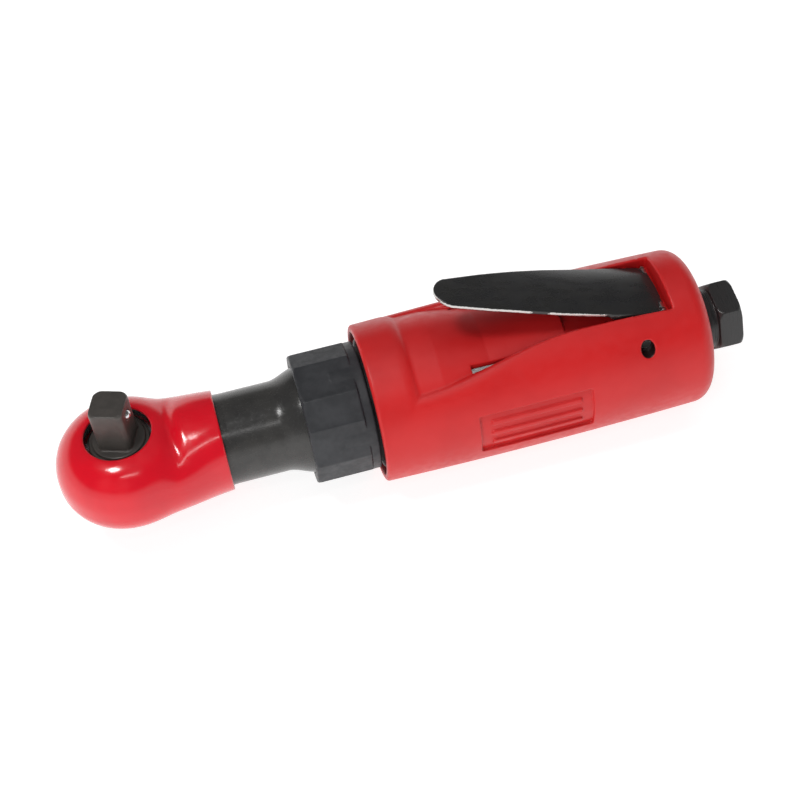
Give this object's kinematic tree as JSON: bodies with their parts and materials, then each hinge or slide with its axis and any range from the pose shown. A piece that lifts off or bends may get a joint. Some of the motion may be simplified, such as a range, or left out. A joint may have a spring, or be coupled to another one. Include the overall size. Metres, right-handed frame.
{
  "type": "air ratchet wrench",
  "caption": "Short air-powered ratchet wrench: square drive with detent ball, domed head cover, neck, clamp nut, round grip, throttle lever and threaded air inlet.",
  "frame": {"origin": "where the axis of the square drive crosses the long axis of the tool", "axes": "+X along the tool from the head towards the air inlet, +Z along the square drive out of the head"},
  "size_m": [0.2003, 0.047, 0.0619],
  "materials": {
    "dark_steel": "blackened steel, satin",
    "cover_red": "glossy moulded cover",
    "nut_black": "matte black",
    "casing_red": "satin red enamel",
    "lever_black": "black paint worn bright at the edges",
    "gear_steel": "ground steel",
    "bright_steel": "bright steel",
    "spring_steel": "drawn wire",
    "bronze": "sintered bronze",
    "brass": "turned brass",
    "motor_alloy": "machined alloy",
    "vane_resin": "phenolic resin",
    "seal_rubber": "nitrile rubber",
    "felt": "felt"
  },
  "bodies": {
    "body": {"ratchet_housing": "dark_steel", "head_cover": "cover_red", "clamp_nut": "nut_black", "anvil_bush": "bronze", "thrust_washer": "bright_steel", "retaining_ring": "bright_steel", "crank_bearing": "bright_steel", "ring_gear": "gear_steel", "motor_housing": "motor_alloy", "front_end_plate": "motor_alloy", "front_bearing": "bright_steel", "motor_cylinder": "motor_alloy", "cylinder_dowel": "bright_steel", "rear_end_plate": "motor_alloy", "rear_bearing": "bright_steel", "exhaust_deflector": "bright_steel", "exhaust_felt": "felt", "grip_casing": "casing_red", "lever_pin": "bright_steel", "stem_guide": "brass", "stem_seal": "seal_rubber", "valve_seat": "brass", "valve_spring": "spring_steel", "air_inlet": "dark_steel", "inlet_seal": "seal_rubber", "inlet_screen": "bright_steel"},
    "lever": {"throttle_lever": "lever_black"},
    "valve": {"throttle_stem": "bright_steel", "valve_plug": "seal_rubber"},
    "crank": {"crankshaft": "gear_steel", "planet_pin_1": "bright_steel", "planet_pin_2": "bright_steel", "planet_pin_3": "bright_steel"},
    "bush": {"drive_bush": "bronze"},
    "planet_1": {"planet_gear_1": "gear_steel"},
    "planet_2": {"planet_gear_2": "gear_steel"},
    "planet_3": {"planet_gear_3": "gear_steel"},
    "rotor": {"rotor": "gear_steel"},
    "vane_1": {"vane_1": "vane_resin"},
    "vane_2": {"vane_2": "vane_resin"},
    "vane_3": {"vane_3": "vane_resin"},
    "vane_4": {"vane_4": "vane_resin"},
    "yoke": {"yoke": "gear_steel"},
    "drive": {"anvil": "dark_steel", "pawl_pin": "bright_steel", "knob_pin": "bright_steel", "detent_spring": "spring_steel"},
    "reverser": {"reverse_knob": "dark_steel", "plunger_spring": "spring_steel"},
    "pawl": {"pawl": "gear_steel"},
    "plunger": {"pawl_plunger": "bright_steel"},
    "ball": {"detent_ball": "bright_steel"}
  },
  "joints": [
    {"name": "lever_press", "type": "hinge", "parent": "body", "child": "lever", "pos_m": [0.1478, 0, 0.0143], "axis": [0, -1, 0], "range_deg": [0, 11], "stiffness_Nm_per_rad": 1.2, "springref_deg": -5.73},
    {"name": "valve_open", "type": "slide", "parent": "body", "child": "valve", "axis": [0, 0, -1], "range_m": [0, 0.0022], "deforming": ["valve_spring"]},
    {"name": "crank_spin", "type": "hinge", "parent": "body", "child": "crank", "pos_m": [0.045, 0, 0], "axis": [1, 0, 0], "continuous": true},
    {"name": "rotor_spin", "type": "hinge", "parent": "body", "child": "rotor", "pos_m": [0.096, 0, 0], "axis": [1, 0, 0], "continuous": true},
    {"name": "planet_1_spin", "type": "hinge", "parent": "crank", "child": "planet_1", "pos_m": [0.0621, 0, -0.0072], "axis": [1, 0, 0], "continuous": true},
    {"name": "planet_2_spin", "type": "hinge", "parent": "crank", "child": "planet_2", "pos_m": [0.0621, 0.00624, 0.0036], "axis": [1, 0, 0], "continuous": true},
    {"name": "planet_3_spin", "type": "hinge", "parent": "crank", "child": "planet_3", "pos_m": [0.0621, -0.00624, 0.0036], "axis": [1, 0, 0], "continuous": true},
    {"name": "bush_spin", "type": "hinge", "parent": "crank", "child": "bush", "pos_m": [0.0364, 0, 0.0025], "axis": [1, 0, 0], "continuous": true},
    {"name": "vane_1_slide", "type": "slide", "parent": "rotor", "child": "vane_1", "axis": [0, -0.7071, 0.7071], "range_m": [0, 0.00045]},
    {"name": "vane_2_slide", "type": "slide", "parent": "rotor", "child": "vane_2", "axis": [0, -0.7071, -0.7071], "range_m": [0, 0.00045]},
    {"name": "vane_3_slide", "type": "slide", "parent": "rotor", "child": "vane_3", "axis": [0, 0.7071, -0.7071], "range_m": [0, 0.00045]},
    {"name": "vane_4_slide", "type": "slide", "parent": "rotor", "child": "vane_4", "axis": [0, 0.7071, 0.7071], "range_m": [0, 0.00045]},
    {"name": "yoke_swing", "type": "hinge", "parent": "body", "child": "yoke", "pos_m": [0, 0, 0], "axis": [0, 0, -1], "range_deg": [-3.9, 3.9]},
    {"name": "drive_spin", "type": "hinge", "parent": "body", "child": "drive", "pos_m": [0, 0, 0], "axis": [0, 0, 1], "continuous": true},
    {"name": "reverse_turn", "type": "hinge", "parent": "drive", "child": "reverser", "pos_m": [0, 0, 0], "axis": [0, 0, 1], "range_deg": [-30, 30]},
    {"name": "pawl_rock", "type": "hinge", "parent": "drive", "child": "pawl", "pos_m": [0.00212, 0.00583, 0], "axis": [0, 0, 1], "range_deg": [-4.2, 4.2]},
    {"name": "plunger_slide", "type": "slide", "parent": "reverser", "child": "plunger", "axis": [0.342, 0.9397, 0], "range_m": [-0.0004, 0], "stiffness_N_per_m": 300, "springref_m": 0.002, "deforming": ["plunger_spring"]},
    {"name": "ball_press", "type": "slide", "parent": "drive", "child": "ball", "axis": [0.9397, -0.342, 0], "range_m": [-0.0008, 0], "stiffness_N_per_m": 400, "springref_m": 0.002, "deforming": ["detent_spring"]}
  ],
  "couplings": [
    {"joint": "valve_open", "follows": "lever_press", "m_per_rad": 0.0104},
    {"joint": "crank_spin", "follows": "rotor_spin", "ratio": 0.25},
    {"joint": "planet_1_spin", "follows": "rotor_spin", "ratio": -0.75},
    {"joint": "planet_2_spin", "follows": "rotor_spin", "ratio": -0.75},
    {"joint": "planet_3_spin", "follows": "rotor_spin", "ratio": -0.75},
    {"joint": "bush_spin", "follows": "rotor_spin", "ratio": -0.25},
    {"joint": "pawl_rock", "follows": "reverse_turn", "ratio": -0.13333}
  ]
}
